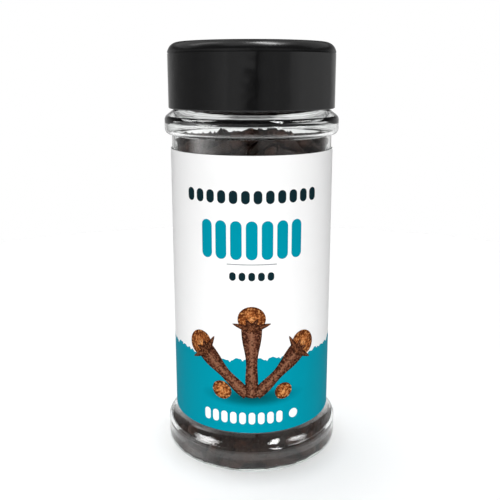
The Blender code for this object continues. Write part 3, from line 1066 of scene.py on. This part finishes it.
def make_world():
    """A white room: pure white to the camera, and uneven in reflections, as a studio is."""
    world = bpy.data.worlds.new("studio")
    scene.world = world
    w = Nodes(world)
    way = w.add("ShaderNodeSeparateXYZ", {0: w.add("ShaderNodeTexCoord").outputs["Generated"]}).outputs
    path = w.add("ShaderNodeLightPath").outputs
    angle = w.math("ARCTAN2", way["X"], w.math("MULTIPLY", way["Y"], -1.0))
    stops = [((degrees + 180) / 360, level / STUDIO_PEAK) for degrees, level in STUDIO_WALLS]
    walls = w.math("MULTIPLY", w.ramp(w.range(angle, 0.0, 1.0, -math.pi, math.pi), stops), STUDIO_PEAK)
    above = w.range(way["Z"], 0.0, 1.0, 0.06, 0.3)
    shaded = w.math("MULTIPLY", walls, stand_shade(w, angle, way["Z"]))
    seen_in = w.mix(above, shaded, (CEILING_LEVEL,) * 3)
    # A ray through the jar meets the backdrop where it goes on backwards, and a wall where it turns aside
    leftward = w.math("MULTIPLY", w.math("MINIMUM", way["X"], 0.0), -2.0)
    rightward = w.math("MULTIPLY", w.math("MAXIMUM", way["X"], 0.0), 0.7)
    sideward = w.math("MAXIMUM", leftward, rightward)
    backward = w.range(w.math("SUBTRACT", way["Y"], sideward), 0.0, 1.0, -0.1, 0.2)
    behind = w.math("MULTIPLY", path["Is Transmission Ray"], backward)
    room = w.mix(behind, seen_in, backdrop_light(w, way))
    lit = w.mix(path["Is Diffuse Ray"], room, (FILL_LEVEL,) * 3)
    seen = w.mix(path["Is Camera Ray"], lit, (1.0, 1.0, 1.0))
    w.tree.links.new(seen, w.tree.nodes["Background"].inputs["Color"])


# How a softbox's light runs across it: its share by the share of the width
SIDE_FADE = ((0.0, 0.0), (0.15, 0.35), (0.35, 1.0), (0.6, 0.55), (0.8, 0.2), (1.0, 0.0))
CAP_FADE = ((0.0, 0.3), (0.15, 0.74), (0.28, 1.0), (0.52, 0.86), (0.75, 0.56), (1.0, 0.1))
LID_FADE = ((0.0, 0.0), (0.3, 0.4), (0.5, 1.0), (0.7, 0.5), (1.0, 0.0))
SOFT_EDGES = ((0.0, 0.0), (0.2, 1.0), (0.8, 1.0), (1.0, 0.0))
SOFTBOX_DISTANCE = 0.7


def aim(thing, azimuth, elevation, distance, target=(0.0, 0.0, 0.06)):
    """Places a light round the jar. Azimuth 0 is in front of it and 90 to its right."""
    a, e = math.radians(azimuth), math.radians(elevation)
    way = Vector((math.sin(a) * math.cos(e), -math.cos(a) * math.cos(e), math.sin(e)))
    thing.location = Vector(target) + way * distance
    thing.rotation_euler = (-way).to_track_quat("-Z", "Y").to_euler()


def light_only(light, things):
    """Lets a light reach these things alone."""
    group = bpy.data.collections.new(f"{light.name}_reaches")
    for thing in things:
        group.objects.link(thing)
    light.light_linking.receiver_collection = group


def add_sun(name, azimuth, elevation, strength, spread):
    """A sun that isn't seen in reflections or through the jar."""
    light = bpy.data.lights.new(name, "SUN")
    light.energy = strength
    light.angle = math.radians(spread)
    made = bpy.data.objects.new(name, light)
    scene.collection.objects.link(made)
    aim(made, azimuth, elevation, 1.0)
    made.visible_glossy = False
    made.visible_transmission = False
    return made


def add_softbox(name, azimuth, elevation, width, height, brightness, fade):
    """A panel that shows in reflections only. Its brightness is against a white wall's.

    fade gives its share of that brightness by the share of its width."""
    light = bpy.data.lights.new(name, "AREA")
    light.shape = "RECTANGLE"
    light.size = width
    light.size_y = height
    light.energy = brightness * math.pi * width * height
    panel = Nodes(light)
    place = panel.add("ShaderNodeNewGeometry").outputs["Parametric"]
    across = panel.add("ShaderNodeSeparateXYZ", {0: place}).outputs["X"]
    panel.tree.links.new(panel.ramp(across, list(fade)), panel.tree.nodes["Emission"].inputs["Strength"])
    made = bpy.data.objects.new(name, light)
    scene.collection.objects.link(made)
    aim(made, azimuth, elevation, SOFTBOX_DISTANCE)
    made.visible_camera = False
    made.visible_diffuse = False
    return made


def make_lights(jar, others, floor):
    everything = [jar, *others]
    lids = [piece for piece in others if piece.name == "cap_top"]
    skirts = [piece for piece in others if piece.name == "cap_shell"]
    suns = (
        ("front_light", -2, 30, 2.6, 30, everything),
        ("back_light", 176, 35, 1.8, 40, everything),
        ("floor_light", -150, 80, 0.75, 20, [floor]),
        ("top_light", 180, 88.5, 2.1, 8, [floor]),
    )
    softboxes = (
        ("cap_right_panel", 90, 0, 1.15, 1.0, 0.5, CAP_FADE, skirts),
        ("left_softbox", -78, 42, 0.4, 0.3, 9.5, SOFT_EDGES, [jar]),
        ("right_softbox", 37, 40, 0.15, 0.3, 20.0, SOFT_EDGES, [jar]),
        ("far_right_softbox", 76, 38, 0.34, 0.2, 9.0, SOFT_EDGES, [jar]),
        ("side_panel", -70, -6, 0.8, 0.3, 2.4, SIDE_FADE, [jar]),
        ("lid_softbox", 55, 76, 0.3, 0.3, 16.0, LID_FADE, lids),
        ("lid_left_softbox", -110, 55, 0.22, 0.3, 2.4, LID_FADE, lids),
        ("lid_panel_0", 0, 80, 0.9, 0.6, 0.6, SOFT_EDGES, lids),
        ("lid_panel_125", 125, 50, 0.9, 0.6, 0.3, SOFT_EDGES, lids),
        ("lid_panel_-125", -125, 50, 0.9, 0.6, 0.35, SOFT_EDGES, lids),
    )
    for *settings, reached in suns:
        light_only(add_sun(*settings), reached)
    for *settings, reached in softboxes:
        light_only(add_softbox(*settings), reached)


def make_camera():
    data = bpy.data.cameras.new("camera")
    data.lens = CAMERA_LENS
    data.sensor_width = 36.0
    data.shift_x, data.shift_y = CAMERA_SHIFT
    data.clip_start = 0.005
    data.clip_end = 50.0
    made = bpy.data.objects.new("camera", data)
    made.location = (0.0, -CAMERA_DISTANCE, CAMERA_HEIGHT)
    made.rotation_euler = (math.pi / 2 - CAMERA_PITCH, 0.0, 0.0)
    scene.collection.objects.link(made)
    scene.camera = made


make_camera()
jar = make_jar()
others = [*make_cap(), make_label(), *make_print(), *make_heap()]
floor = make_floor()
make_world()
make_lights(jar, others, floor)

scene.view_settings.view_transform = "Standard"
scene.view_settings.look = "None"
